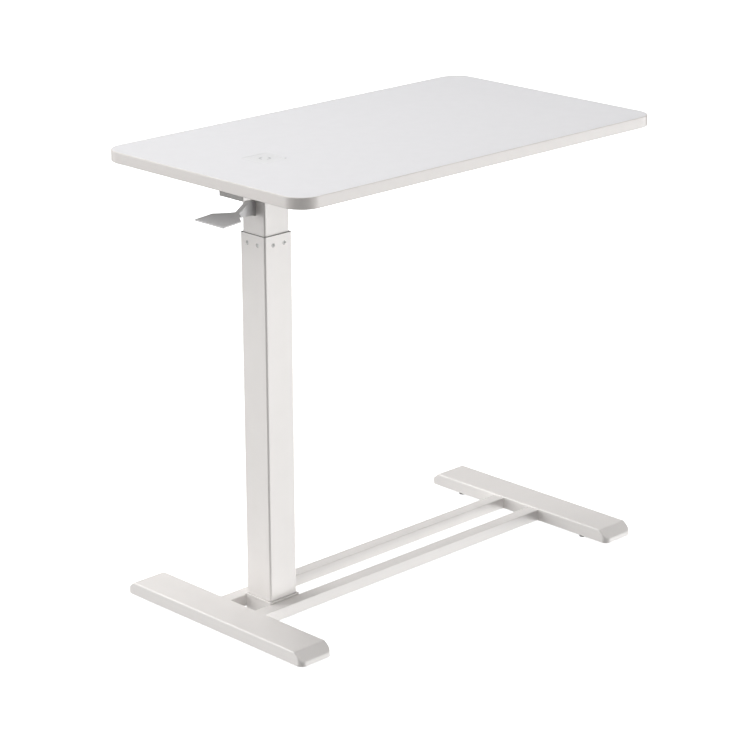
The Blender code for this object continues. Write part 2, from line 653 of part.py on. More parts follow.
def build_caster(name, x, y):
    """A twin-wheel swivel caster; the mount stays on the foot and the rest turns about its kingpin."""
    plate_top = FOOT_TOP - FOOT_WALL - GAP
    plate_low = plate_top - 0.0015
    mount = extrusion(f"{name}_mount", [rounded_rect(0.038, 0.038, 0.004, 3)], 0.0015, at(x, y, plate_low))
    pin_radius, pin_low = 0.0026, 0.0095
    join(mount, rod(f"{name}_kingpin", pin_radius, (x, y, pin_low), (x, y, plate_low + 0.0005), 24))
    join(mount, rod(f"{name}_rivet", 0.0042, (x, y, pin_low), (x, y, pin_low + 0.0012), 24))
    place(mount, ZINC_STEEL)

    swivel = empty(f"{name}_swivel_axis", (x, y, 0), CASTER_HEADING)
    heading = Matrix.Translation((x, y, 0)) @ Matrix.Rotation(CASTER_HEADING, 4, "Z")
    boss_low, boss_high = pin_low + 0.0012 + GAP, plate_low - GAP
    boss = 0.0048
    hood = extrusion(f"{name}_hood", [circle(boss)], boss_high - boss_low, heading @ at(z=boss_low))
    axle_at = (CASTER_TRAIL, WHEEL_RADIUS)
    back = arc(axle_at, 0.0100, -math.radians(60), math.radians(95), 10)
    outline = back + [(0.0, boss_high - 0.0008), (0.0, boss_low), (0.0045, boss_low - 0.0030)]
    slab = extrusion(f"{name}_slab", [outline], 2 * boss, heading @ at(y=-boss) @ SIDE_VIEW)
    join(hood, slab)
    cut(hood, rod(f"{name}_bore", pin_radius + RUNNING_GAP, (x, y, 0.0), (x, y, 0.04), 24))
    socket = rod(f"{name}_socket", 0.0047, (x, y, 0.0), (x, y, boss_low), 24)
    cut(hood, socket)
    side = Vector((-math.sin(CASTER_HEADING), math.cos(CASTER_HEADING), 0))
    hub = heading @ Vector((CASTER_TRAIL, 0, WHEEL_RADIUS))
    cut(hood, rod(f"{name}_axle_bore", 0.0020 + RUNNING_GAP, hub - side * 0.02, hub + side * 0.02, 24))
    place(hood, BLACK_PLASTIC, swivel)
    reach = WHEEL_SPACING / 2 + WHEEL_WIDTH / 2 - 0.0012
    place(rod(f"{name}_axle", 0.0020, hub - side * reach, hub + side * reach, 24), ZINC_STEEL, swivel)
    for label, way in (("a", -1), ("b", 1)):
        middle = hub + side * way * WHEEL_SPACING / 2
        turn = (side * way).to_track_quat("Z", "Y").to_matrix().to_4x4()
        wheel = turned(f"{name}_wheel_{label}", wheel_profile(), Matrix.Translation(middle) @ turn, 28)
        spin = empty(f"{name}_spin_axis_{label}", hub, CASTER_HEADING, swivel)
        place(wheel, BLACK_PLASTIC, spin)


clear_scene()
PARTS = collection("overbed_table")
CUTTERS = collection("cutters", hidden=True)

LAMINATE = material("white_laminate", (0.86, 0.85, 0.87), 0.45)
EDGE_PLASTIC = material("edge_plastic", (0.80, 0.78, 0.76), 0.5)
LABEL_FILM = material("label_film", (0.93, 0.93, 0.94), 0.35)
WHITE_STEEL = material("white_painted_steel", (0.84, 0.82, 0.80), 0.4)
GREY_PLASTIC = material("grey_plastic", (0.50, 0.49, 0.48), 0.55)
GLIDE_PLASTIC = material("glide_plastic", (0.85, 0.85, 0.84), 0.5)
BLACK_PLASTIC = material("black_plastic", (0.03, 0.03, 0.03), 0.5)
ZINC_STEEL = material("zinc_plated_steel", (0.62, 0.62, 0.60), 0.35, 1.0)
DARK_STEEL = material("dark_painted_steel", (0.06, 0.06, 0.06), 0.4, 0.6)
CHROME = material("chrome", (0.75, 0.75, 0.76), 0.12, 1.0)

LIFT = empty("lift_axis", (COLUMN_X, 0, 0))
LEVER = empty("lever_axis", (PIVOT_X, 0, PIVOT_Z), parent=LIFT)
PRESS = empty("release_pin_axis", (COLUMN_X, 0, 0.5895), parent=LIFT)

build_tabletop()
build_edge_band()
build_label()
build_support_arm()
build_mounting_plates()
build_inner_tube()
build_outer_tube()
build_glides()
build_gas_spring()
build_lever()
build_base()
for foot_name, foot_x in zip(("left", "right"), FOOT_X):
    for end_name, end_y in (("front", -CASTER_Y), ("rear", CASTER_Y)):
        build_caster(f"caster_{foot_name}_{end_name}", foot_x, end_y)
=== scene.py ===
"""Looks for the overbed table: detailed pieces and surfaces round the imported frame, in metres."""

import math

import bmesh
import bpy
from mathutils import Matrix, Vector


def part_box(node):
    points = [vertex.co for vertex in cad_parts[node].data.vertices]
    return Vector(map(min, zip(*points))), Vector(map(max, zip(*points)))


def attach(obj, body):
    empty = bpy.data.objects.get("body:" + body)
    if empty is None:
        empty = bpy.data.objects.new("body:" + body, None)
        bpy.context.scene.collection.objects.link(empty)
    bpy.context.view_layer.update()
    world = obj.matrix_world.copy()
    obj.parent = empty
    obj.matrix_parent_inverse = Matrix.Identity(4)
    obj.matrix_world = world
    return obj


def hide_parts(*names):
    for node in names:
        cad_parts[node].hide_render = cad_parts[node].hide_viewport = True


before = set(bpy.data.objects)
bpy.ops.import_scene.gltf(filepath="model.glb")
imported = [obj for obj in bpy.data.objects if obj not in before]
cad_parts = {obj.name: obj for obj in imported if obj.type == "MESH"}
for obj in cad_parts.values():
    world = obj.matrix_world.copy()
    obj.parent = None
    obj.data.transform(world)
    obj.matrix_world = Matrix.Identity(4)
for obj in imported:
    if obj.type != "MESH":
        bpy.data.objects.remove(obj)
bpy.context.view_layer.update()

# Sizes that a node's box doesn't give.
BAND_THICKNESS = 0.0015
TOP_CORNER = 0.032
BOARD_CLEARANCE = 0.00003
LABEL_POCKET = 0.045
OUTER_WALL = 0.0012
INNER_WALL = 0.0015
OUTER_CORNER = 0.0028
INNER_CORNER = 0.0022
TUBE_RIM = 0.0003
MOUTH_LIP = 0.0009
ARM_WALL = 0.0015
ARM_CORNER = 0.0012
# The holes near the fixed tube's mouth: how far down, how far from the middle of a face, how wide.
HOLE_DROP = 0.0132
HOLE_OFFSET = 0.0100
HOLE_RADIUS = 0.0028
FOOT_WALL = 0.0017
FOOT_CORNER = 0.0095
FOOT_EDGE = 0.0018
FACET_RUN = 0.0150
FACET_DROP = 0.0119
PLATE_EDGE = 0.0004
BOLT_SHANK = 0.0028
BOLT_PITCH = 0.0010
BOLT_HOLE = 0.0033
CASTER_TRAIL = 0.008
WHEEL_RADIUS = 0.012
AXLE_BORE = 0.0021
# A cutting tool starts and ends this far past the faces that it cuts.
PAST = 0.01
# The label's print ends this far under the top of the label's box.
HAIR = 0.00002
# Edges that turn by more than this are shaded sharp.
SHARP_ANGLE = math.radians(30)


# Meshes.


def arc(cx, cy, radius, start, end, steps):
    """Points along an arc, both ends included; the angles are in degrees."""
    turns = [math.radians(start + (end - start) * i / steps) for i in range(steps + 1)]
    return [(cx + radius * math.cos(a), cy + radius * math.sin(a)) for a in turns]


def rounded(size_x, size_y, radius, steps):
    """A rectangle with round corners, about the origin, as a loop of points."""
    half_x, half_y = size_x / 2 - radius, size_y / 2 - radius
    corners = ((half_x, half_y), (-half_x, half_y), (-half_x, -half_y), (half_x, -half_y))
    points = []
    for quarter, (x, y) in enumerate(corners):
        points += arc(x, y, radius, quarter * 90, quarter * 90 + 90, steps)
    return points


def bridged(bm, rings, closed):
    """Faces between loops of equal length; closed joins the last loop to the first."""
    pairs = list(zip(rings, rings[1:])) + ([(rings[-1], rings[0])] if closed else [])
    for ring, after in pairs:
        for i in range(len(ring)):
            j = (i + 1) % len(ring)
            bm.faces.new((ring[i], ring[j], after[j], after[i]))


def swept(size_x, size_y, radius, profile, closed, steps):
    """A rounded rectangle carried along a profile of (inset, height) points: a tube if closed."""
    bm = bmesh.new()
    rings = []
    least_corner = 0.0002
    for inset, height in profile:
        corner = max(radius - inset, least_corner)
        outline = rounded(size_x - 2 * inset, size_y - 2 * inset, corner, steps)
        rings.append([bm.verts.new((x, y, height)) for x, y in outline])
    bridged(bm, rings, closed)
    if not closed:
        bm.faces.new(rings[0])
        bm.faces.new(rings[-1])
    return bm


def turned(profile, steps, closed=False):
    """A body of revolution about Z: a ring if closed, else from the axis and back to it."""
    bm = bmesh.new()
    rings = []
    turns = [2 * math.pi * i / steps for i in range(steps)]
    on_axis = 1e-7
    for radius, height in profile:
        if radius < on_axis:
            rings.append([bm.verts.new((0, 0, height))])
            continue
        around = [(radius * math.cos(a), radius * math.sin(a), height) for a in turns]
        rings.append([bm.verts.new(point) for point in around])
    pairs = list(zip(rings, rings[1:])) + ([(rings[-1], rings[0])] if closed else [])
    for ring, after in pairs:
        for i in range(steps):
            j = (i + 1) % steps
            corners = [ring[i % len(ring)], ring[j % len(ring)]]
            corners += [after[j % len(after)], after[i % len(after)]]
            face = list(dict.fromkeys(corners))
            if len(face) > 2:
                bm.faces.new(face)
    return bm


def prism(outline, low, high):
    """A flat outline extruded from one height to another."""
    bm = bmesh.new()
    rings = [[bm.verts.new((x, y, z)) for x, y in outline] for z in (low, high)]
    bridged(bm, rings, False)
    bm.faces.new(rings[0])
    bm.faces.new(rings[1])
    return bm


def box(low, high):
    """A block between two corners, used to cut with."""
    outline = ((low[0], low[1]), (high[0], low[1]), (high[0], high[1]), (low[0], high[1]))
    return prism(outline, low[2], high[2])


def peg(start, end, radius, steps=32):
    """A round bar between two points, used to cut or join with."""
    start, end = Vector(start), Vector(end)
    turn = (end - start).to_track_quat("Z", "Y").to_matrix().to_4x4()
    bm = bmesh.new()
    bmesh.ops.create_cone(
        bm,
        cap_ends=True,
        segments=steps,
        radius1=radius,
        radius2=radius,
        depth=(end - start).length,
        matrix=Matrix.Translation((start + end) / 2) @ turn,
    )
    return bm


def moved(bm, matrix):
    """The same bmesh, carried by a matrix."""
    bmesh.ops.transform(bm, matrix=matrix, verts=bm.verts)
    return bm


def at(x, y, z=0.0):
    """A move to a point."""
    return Matrix.Translation((x, y, z))


def along(direction, origin):
    """Turns +Z to a direction and then moves to an origin."""
    turn = Vector(direction).to_track_quat("Z", "Y").to_matrix().to_4x4()
    return Matrix.Translation(origin) @ turn


def spun(angle):
    """A turn about Z, in degrees."""
    return Matrix.Rotation(math.radians(angle), 4, "Z")


def chamfered(low, high, edge):
    """Inset and height points of a flat plate's side, its two edges cut off."""
    return [(edge, low), (0, low + edge), (0, high - edge), (edge, high)]


# An outline's (x, y) stands in the XZ plane and its height runs along +Y.
SIDE_VIEW = Matrix(((1, 0, 0, 0), (0, 0, 1, 0), (0, 1, 0, 0), (0, 0, 0, 1)))
# An outline's (x, y) stands in the YZ plane and its height runs along +X.
END_VIEW = Matrix(((0, 0, 1, 0), (1, 0, 0, 0), (0, 1, 0, 0), (0, 0, 0, 1)))


def loose(name, bm):
    """An object from a bmesh, with its faces turned outwards."""
    bmesh.ops.recalc_face_normals(bm, faces=bm.faces)
    data = bpy.data.meshes.new(name)
    bm.to_mesh(data)
    bm.free()
    made = bpy.data.objects.new(name, data)
    bpy.context.scene.collection.objects.link(made)
    return made


def settle(obj):
    """Bakes an object's modifiers into its mesh."""
    bpy.context.view_layer.update()
    graph = bpy.context.evaluated_depsgraph_get()
    baked = bpy.data.meshes.new_from_object(obj.evaluated_get(graph))
    obj.modifiers.clear()
    obj.data = baked


def shaped(obj, cuts=(), joins=()):
    """Joins bmeshes to an object and then cuts others out of it."""
    for operation, tools in (("UNION", joins), ("DIFFERENCE", cuts)):
        for tool in tools:
            other = loose("tool", tool)
            change = obj.modifiers.new("shape", "BOOLEAN")
            change.operation = operation
            change.solver = "EXACT"
            change.object = other
            settle(obj)
            bpy.data.objects.remove(other, do_unlink=True)


def bevelled(obj, width, segments, angle):
    """Rounds every edge sharper than an angle."""
    bevel = obj.modifiers.new("round", "BEVEL")
    bevel.width = width
    bevel.segments = segments
    bevel.limit_method = "ANGLE"
    bevel.angle_limit = math.radians(angle)
    bevel.harden_normals = False
    settle(obj)


def smoothed(obj):
    """Smooth shading that keeps flat faces flat and sharp edges sharp."""
    data = obj.data
    for polygon in data.polygons:
        polygon.use_smooth = True
    data.set_sharp_from_angle(angle=SHARP_ANGLE)
    weighted = obj.modifiers.new("flats", "WEIGHTED_NORMAL")
    weighted.keep_sharp = True
    weighted.weight = 100
    settle(obj)


def piece(obj, look, body, stands_for=()):
    """Finishes a piece: its shading, look, body and the CAD nodes that it stands for."""
    smoothed(obj)
    obj.data.materials.clear()
    obj.data.materials.append(look)
    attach(obj, body)
    if stands_for:
        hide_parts(*stands_for)


# Surfaces.

# Nearly all of a noise's values lie between these two.
NOISE_LOW, NOISE_HIGH = 0.3, 0.7


def ramp(tree, source, low, high, colors):
    """A colour ramp between two positions of a value."""
    node = tree.nodes.new("ShaderNodeValToRGB")
    node.color_ramp.elements[0].position = low
    node.color_ramp.elements[1].position = high
    node.color_ramp.elements[0].color = (*colors[0], 1.0)
    node.color_ramp.elements[1].color = (*colors[1], 1.0)
    tree.links.new(source, node.inputs["Fac"])
    return node.outputs["Color"]


def noise(tree, place, scale, detail=3.0):
    """A cloud of grey values at a place, finer for a larger scale."""
    node = tree.nodes.new("ShaderNodeTexNoise")
    node.inputs["Scale"].default_value = scale
    node.inputs["Detail"].default_value = detail
    node.inputs["Roughness"].default_value = 0.55
    tree.links.new(place, node.inputs["Vector"])
    return node.outputs["Fac"]


def between(tree, source, low, high):
    """Maps a noise to a range of values."""
    node = tree.nodes.new("ShaderNodeMapRange")
    node.inputs["From Min"].default_value = NOISE_LOW
    node.inputs["From Max"].default_value = NOISE_HIGH
    node.inputs["To Min"].default_value = low
    node.inputs["To Max"].default_value = high
    tree.links.new(source, node.inputs["Value"])
    return node.outputs["Result"]


def finish(
    name, darkest, lightest, mottle, roughness, grain, depth, metallic=0.0, stretch=(1, 1, 1)
):
    """A finish whose colour, roughness and relief come from noise in the object's own space.

    The colour runs from darkest to lightest, and roughness is a range too. mottle and grain are the
    noise scales of the colour and of the relief, and depth is the relief's height in metres.
    """
    made = bpy.data.materials.new(name)
    made.use_nodes = True
    tree = made.node_tree
    shader = tree.nodes["Principled BSDF"]
    shader.inputs["Metallic"].default_value = metallic
    where = tree.nodes.new("ShaderNodeTexCoord")
    scaled = tree.nodes.new("ShaderNodeMapping")
    scaled.inputs["Scale"].default_value = stretch
    tree.links.new(where.outputs["Object"], scaled.inputs["Vector"])
    place = scaled.outputs["Vector"]
    mottled = noise(tree, place, mottle)
    color = ramp(tree, mottled, NOISE_LOW, NOISE_HIGH, (darkest, lightest))
    tree.links.new(color, shader.inputs["Base Color"])
    rough = between(tree, noise(tree, place, grain * 0.35), *roughness)
    tree.links.new(rough, shader.inputs["Roughness"])
    bump = tree.nodes.new("ShaderNodeBump")
    bump.inputs["Strength"].default_value = 0.6
    bump.inputs["Distance"].default_value = depth
    tree.links.new(noise(tree, place, grain, 4.0), bump.inputs["Height"])
    tree.links.new(bump.outputs["Normal"], shader.inputs["Normal"])
    return made


def paint_mouth_shade(made, color):
    """Paints an upright tube's faces that look up or down near black: painted shade for the dark
    gap at its mouth and in its holes.
    """
    tree = made.node_tree
    coat = tree.nodes["Principled BSDF"].inputs["Base Color"]
    facing = tree.nodes.new("ShaderNodeSeparateXYZ")
    tree.links.new(tree.nodes["Texture Coordinate"].outputs["Normal"], facing.inputs["Vector"])
    size = tree.nodes.new("ShaderNodeMath")
    size.operation = "ABSOLUTE"
    tree.links.new(facing.outputs["Z"], size.inputs[0])
    shade_mix = tree.nodes.new("ShaderNodeMix")
    shade_mix.data_type = "RGBA"
    # The Mix node's colour sockets, by position: its sockets of other types have the same names.
    mix_a, mix_b, mix_result = shade_mix.inputs[6], shade_mix.inputs[7], shade_mix.outputs[2]
    black, white = (0.0, 0.0, 0.0), (1.0, 1.0, 1.0)
    # Faces that look more up or down than this get the painted shade.
    edge = ramp(tree, size.outputs["Value"], 0.3, 0.6, (black, white))
    tree.links.new(edge, shade_mix.inputs["Factor"])
    tree.links.new(coat.links[0].from_socket, mix_a)
    mix_b.default_value = (*color, 1.0)
    tree.links.new(mix_result, coat)
    return made


COAT = ((0.88, 0.85, 0.825), (0.895, 0.865, 0.84), 30, (0.32, 0.42), 700, 4e-5)
# Near black: painted shade for the gap at the fixed tube's mouth and for its holes' edges.
MOUTH_SHADE = (0.03, 0.028, 0.027)

LAMINATE = finish(
    "white_laminate", (0.83, 0.825, 0.84), (0.845, 0.84, 0.855), 60, (0.42, 0.5), 2600, 2e-5
)
EDGING = finish(
    "edge_banding", (0.75, 0.715, 0.69), (0.76, 0.725, 0.70), 45, (0.34, 0.42), 1400, 2e-5
)
FILM = finish(
    "label_film", (0.90, 0.90, 0.905), (0.92, 0.92, 0.925), 80, (0.28, 0.34), 900, 1e-5
)
INK = finish("label_ink", (0.45, 0.45, 0.46), (0.5, 0.5, 0.51), 400, (0.4, 0.5), 2000, 1e-5)
PAINT = finish("powder_coat", *COAT)
# The fixed tube's coat, with painted shade on its faces that look up or down: rim, mouth lip and
# hole edges.
PAINT_WITH_MOUTH_SHADE = paint_mouth_shade(finish("powder_coat_mouth_shade", *COAT), MOUTH_SHADE)
LEVER_PAINT = finish(
    "lever_coat", (0.70, 0.69, 0.69), (0.72, 0.71, 0.71), 60, (0.3, 0.4), 900, 3e-5
)
PLUG = finish(
    "grey_plastic", (0.50, 0.485, 0.47), (0.54, 0.525, 0.51), 200, (0.5, 0.62), 2200, 4e-5
)
GLIDE = finish(
    "glide_nylon", (0.84, 0.835, 0.825), (0.87, 0.865, 0.855), 120, (0.42, 0.52), 1500, 3e-5
)
BLACK = finish(
    "black_nylon", (0.022, 0.022, 0.023), (0.035, 0.035, 0.036), 220, (0.45, 0.6), 2400, 4e-5
)
ZINC = finish(
    "zinc_plate", (0.55, 0.56, 0.56), (0.68, 0.68, 0.67), 260, (0.26, 0.42), 1600, 2e-5, 1.0
)
DARK = finish(
    "dark_coat", (0.05, 0.05, 0.052), (0.075, 0.075, 0.078), 160, (0.4, 0.52), 1200, 3e-5
)
CHROME = finish(
    "ground_chrome",
    (0.72, 0.72, 0.73),
    (0.78, 0.78, 0.79),
    160,
    (0.08, 0.16),
    1500,
    1e-5,
    metallic=1.0,
    stretch=(1, 1, 9),
)


# The top.


def build_board():
    """The laminated board, with the label's pocket and the screws' pilot holes."""
    low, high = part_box("edge_band")
    inset = BAND_THICKNESS + BOARD_CLEARANCE
    size = high - low
    arris, pocket_corner, pocket_depth = 0.0002, 0.0024, 0.001
    pilot_radius, pilot_past_screw = 0.0022, 0.0004
    profile = [(inset + arris, low.z), (inset, low.z + arris)]
    profile += [(inset, high.z - arris), (inset + arris, high.z)]
    board = loose("board_laminated", swept(size.x, size.y, TOP_CORNER, profile, False, 24))
    label_low, label_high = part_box("top_label")
    centre = (label_low + label_high) / 2
    outline = rounded(LABEL_POCKET, LABEL_POCKET, pocket_corner, 8)
    pocket = prism(outline, high.z - pocket_depth, high.z + pocket_depth)
    cuts = [moved(pocket, at(centre.x, centre.y))]
    for row in ("near", "far"):
        for side in ("front", "rear"):
            screw_low, screw_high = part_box(f"wood_screw_{row}_{side}")
            hole = (screw_low + screw_high) / 2
            mouth = (hole.x, hole.y, low.z - 0.001)
            bottom = (hole.x, hole.y, screw_high.z + pilot_past_screw)
            cuts.append(peg(mouth, bottom, pilot_radius))
    shaped(board, cuts)
    piece(board, LAMINATE, "lift", ("tabletop",))


def build_band():
    """The edge banding, with rounded arrises."""
    low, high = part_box("edge_band")
    size = high - low
    arris = 0.0009
    profile = [(arris - x, y) for x, y in arc(0, high.z - arris, arris, 0, 90, 6)]
    profile += [(BAND_THICKNESS, high.z), (BAND_THICKNESS, low.z)]
    profile += [(arris - x, y) for x, y in arc(0, low.z + arris, arris, -90, 0, 6)]
    band = loose("edge_banding", swept(size.x, size.y, TOP_CORNER, profile, True, 24))
    piece(band, EDGING, "lift", ("edge_band",))


def build_label():
    """The film over the column, with a plain printed height sign and a dot."""
    low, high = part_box("top_label")
    centre = (low + high) / 2
    side = high.x - low.x
    # The ink is 0.12 mm thick and fills the top of the label's box.
    ink, sunk, edge, corner = 0.00012, 0.0001, 0.00015, 0.0022
    top = high.z - ink
    profile = [(0.0, low.z), (0.0, top - edge), (edge, top)]
    film = moved(swept(side, side, corner, profile, False, 8), at(centre.x, centre.y))
    piece(loose("label_film", film), FILM, "lift", ("top_label",))

    bm = bmesh.new()
    # A chevron's line width, half width, distance from the middle and height.
    stroke, reach, gap, rise = 0.0016, 0.0065, 0.0030, 0.0042
    for way in (-1, 1):
        inner, outer = way * gap, way * gap + way * rise
        line = [(-reach, inner), (0.0, outer), (reach, inner)]
        far = [(x, y + way * stroke) for x, y in line]
        loop = line + far[::-1]
        rings = [[bm.verts.new((x, y, z)) for x, y in loop] for z in (top - sunk, high.z - HAIR)]
        bridged(bm, rings, False)
        bm.faces.new(rings[0])
        bm.faces.new(rings[1])
    sign = loose("label_height_sign", moved(bm, at(centre.x, centre.y) @ spun(45)))
    piece(sign, INK, "lift")

    radius, face_radius, offset = 0.0016, 0.0014, 0.0196
    dot = [(0, top - sunk), (radius, top - sunk), (radius, high.z - 2 * HAIR)]
    dot += [(face_radius, high.z - HAIR), (0, high.z - HAIR)]
    mark = moved(turned(dot, 32), at(centre.x + offset, centre.y - offset))
    piece(loose("label_dot", mark), INK, "lift")


def build_arm():
    """The tube under the top, and the moulded plugs in its two ends."""
    low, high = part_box("support_arm")
    size = high - low
    centre = (low + high) / 2
    stand = at(0, centre.y, centre.z) @ END_VIEW
    rim = 0.0003
    profile = [(rim - x, y) for x, y in arc(0, high.x - rim, rim, 0, 90, 3)]
    profile += [(ARM_WALL, high.x), (ARM_WALL, low.x)]
    profile += [(rim - x, y) for x, y in arc(0, low.x + rim, rim, -90, 0, 3)]
    arm = loose("arm_tube", moved(swept(size.y, size.z, ARM_CORNER, profile, True, 10), stand))
    piece(arm, PAINT, "lift", ("support_arm",))

    # A plug's insert stands clear of the tube's wall. Its flange has round edges, and a ridge goes
    # round its outer face.
    inside, flange, ridge, sink, round_over = ARM_WALL + 0.0003, 0.0015, 0.0022, 0.0004, 0.0009
    for node, way in (("arm_plug_column_end", -1), ("arm_plug_far_end", 1)):
        plug_low, plug_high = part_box(node)
        outside = plug_low.x if way < 0 else plug_high.x
        tip = plug_high.x if way < 0 else plug_low.x
        inner = outside - way * flange
        profile = [(inside, tip), (inside, inner), (0.0, inner), (0.0, outside - way * round_over)]
        edge = [(round_over - x, y) for x, y in arc(0, 0, round_over, 0, 90, 5)]
        profile += [(x, outside - way * (round_over - y)) for x, y in edge[1:]]
        profile += [(ridge, outside), (ridge + sink, outside - way * sink)]
        plug = moved(swept(size.y, size.z, ARM_CORNER, profile, False, 10), stand)
        plug = loose(node.replace("arm_plug", "arm_cap"), plug)
        piece(plug, PLUG, "lift", (node,))


def build_bars():
    """The two flat bars and the screws that hold them up to the board."""
    corner, hole_radius, shank, pitch = 0.005, 0.0026, 0.0020, 0.0012
    for row in ("near", "far"):
        low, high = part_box(f"mounting_bar_{row}")
        size = high - low
        centre = (low + high) / 2
        bar = swept(size.x, size.y, corner, chamfered(low.z, high.z, PLATE_EDGE), False, 8)
        bar = loose(f"bar_{row}", moved(bar, at(centre.x, centre.y)))
        cuts = []
        for side in ("front", "rear"):
            node = f"wood_screw_{row}_{side}"
            screw_low, screw_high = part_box(node)
            middle = (screw_low + screw_high) / 2
            under = (middle.x, middle.y, low.z - PAST)
            over = (middle.x, middle.y, high.z + PAST)
            cuts.append(peg(under, over, hole_radius))
            build_screw(node, f"pan_screw_{row}_{side}", (0, 0, 1), shank, pitch, "lift")
        shaped(bar, cuts)
        piece(bar, PAINT, "lift", (f"mounting_bar_{row}",))


def build_screw(node, name, direction, shank, pitch, body, head_height=0.0026):
    """A pan-head screw with a cross recess and a rolled thread, in the place of a CAD screw."""
    low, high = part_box(node)
    direction = Vector(direction)
    centre = (low + high) / 2
    length = abs((high - low).dot(direction))
    head = max((high - low)[i] for i in range(3) if abs(direction[i]) < 0.5) / 2
    stand = along(direction, centre - direction * length / 2)
    profile = [(0.0, 0.0)]
    for a in (20, 40, 60, 75, 86):
        turn = math.radians(a)
        profile.append((head * math.sin(turn), head_height * 0.75 * (1 - math.cos(turn))))
    edge = 0.0001
    profile += [(head, head_height * 0.8), (head, head_height - edge)]
    profile += [(head - edge, head_height), (shank, head_height)]
    z = head_height + pitch
    root = shank - 0.35 * pitch
    while z < length - 1.5 * shank:
        profile += [(root, z), (root, z + 0.25 * pitch)]
        profile += [(shank, z + 0.55 * pitch), (shank, z + 0.65 * pitch)]
        z += pitch
    profile += [(root, z), (root * 0.35, length - 0.0002), (0.0, length)]
    screw = loose(name, moved(turned(profile, 28), stand))
    arm, blade, sink = head * 0.52, 0.0004, 0.0012
    cross = [box((-arm, -blade, -sink), (arm, blade, sink))]
    cross.append(box((-blade, -arm, -sink), (blade, arm, sink)))
    shaped(screw, [moved(tool, stand) for tool in cross])
    piece(screw, ZINC, body, (node,))


# The column.


def rim_profile(low, high, wall, lip):
    """Inset and height points round a tube's wall: round rims, and a mouth turned in by a lip."""
    rim, arris, lip_height = TUBE_RIM, 0.0001, 0.0006
    profile = [(rim - x, y) for x, y in arc(0, high - rim, rim, 0, 90, 4)]
    profile += [(wall + lip - arris, high), (wall + lip, high - arris)]
    if lip:
        profile += [(wall + lip, high - lip_height), (wall, high - lip_height - lip)]
    profile += [(wall, low)]
    profile += [(rim - x, y) for x, y in arc(0, low + rim, rim, -90, 0, 4)]
    return profile


def build_tubes():
    """The fixed tube, the tube that slides in it, and the lever's pin across that one."""
    low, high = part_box("outer_tube")
    side = high.x - low.x
    middle = (low + high) / 2
    profile = rim_profile(low.z, high.z, OUTER_WALL, MOUTH_LIP)
    outer = swept(side, side, OUTER_CORNER, profile, True, 14)
    outer = loose("column_outer", moved(outer, at(middle.x, middle.y)))
    z = high.z - HOLE_DROP
    cuts = []
    for offset in (-HOLE_OFFSET, HOLE_OFFSET):
        x = middle.x + offset
        cuts.append(peg((low.x - PAST, offset, z), (high.x + PAST, offset, z), HOLE_RADIUS, 40))
        cuts.append(peg((x, low.y - PAST, z), (x, high.y + PAST, z), HOLE_RADIUS, 40))
    shaped(outer, cuts)
    # The fixed tube's rim, mouth lip and hole edges carry painted shade.
    piece(outer, PAINT_WITH_MOUTH_SHADE, "base", ("outer_tube",))

    low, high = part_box("inner_tube")
    side = high.x - low.x
    profile = rim_profile(low.z, high.z, INNER_WALL, 0.0)
    inner = swept(side, side, INNER_CORNER, profile, True, 14)
    inner = loose("column_inner", moved(inner, at(middle.x, middle.y)))
    # The lever goes through a slot in the face towards it.
    slot_width, slot_height, slot_corner, slot_z, slot_depth = 0.0100, 0.0270, 0.0012, 0.6010, 0.005
    slot = rounded(slot_width, slot_height, slot_corner, 5)
    slot = prism(slot, low.x - slot_depth, low.x + slot_depth)
    shaped(inner, [moved(slot, at(0, 0, slot_z) @ END_VIEW)])
    piece(inner, PAINT, "lift", ("inner_tube",))

    pin_low, pin_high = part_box("lever_pivot_pin")
    pin = (pin_low + pin_high) / 2
    end, radius, core = 0.0004, 0.0025, 0.0018
    length = pin_high.y - pin_low.y
    profile = [(0.0, 0.0), (core, 0.0), (radius, end)]
    profile += [(radius, length - end), (core, length), (0.0, length)]
    pivot = moved(turned(profile, 32), along((0, 1, 0), (pin.x, pin_low.y, pin.z)))
    piece(loose("lever_pivot", pivot), ZINC, "lift", ("lever_pivot_pin",))


def build_glide():
    """The nylon sleeve in the fixed tube's mouth, with eight round nubs in the tube's holes."""
    low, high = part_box("upper_glide")
    tube_low, tube_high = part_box("outer_tube")
    inner_low, inner_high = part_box("inner_tube")
    middle = (tube_low + tube_high) / 2
    play_outside, play_inside = 0.0004, 0.0002
    side = tube_high.x - tube_low.x - 2 * OUTER_WALL - play_outside
    bore = inner_high.x - inner_low.x + play_inside
    wall = (side - bore) / 2
    corner, edge, bore_edge = 0.0021, 0.0003, 0.0004
    profile = [(0.0, high.z - edge), (edge, high.z), (wall - edge, high.z)]
    profile += [(wall, high.z - bore_edge), (wall, low.z + bore_edge)]
    profile += [(wall - edge, low.z), (edge, low.z), (0.0, low.z + edge)]
    sleeve = swept(side, side, corner, profile, True, 10)
    sleeve = loose("glide_sleeve", moved(sleeve, at(middle.x, middle.y)))
    z = tube_high.z - HOLE_DROP
    reach = (high.x - low.x) / 2
    start, radius = side / 2 - 0.0004, 0.0025
    # A nub's rim stands highest, and its face is dished.
    nub = [(0.0, start), (radius, start), (radius, reach - 0.0003), (0.0023, reach)]
    nub += [(0.0020, reach - 0.0002), (0.0014, reach - 0.0010)]
    nub += [(0.0007, reach - 0.0013), (0.0, reach - 0.0014)]
    outward = Matrix.Rotation(math.pi / 2, 4, "Y")
    nubs = []
    for quarter in range(4):
        for offset in (-HOLE_OFFSET, HOLE_OFFSET):
            place = at(middle.x, middle.y, z) @ spun(90 * quarter) @ at(0, offset, 0)
            nubs.append(moved(turned(nub, 32), place @ outward))
    shaped(sleeve, (), nubs)
    piece(sleeve, GLIDE, "base", ("upper_glide",))


# The lever.


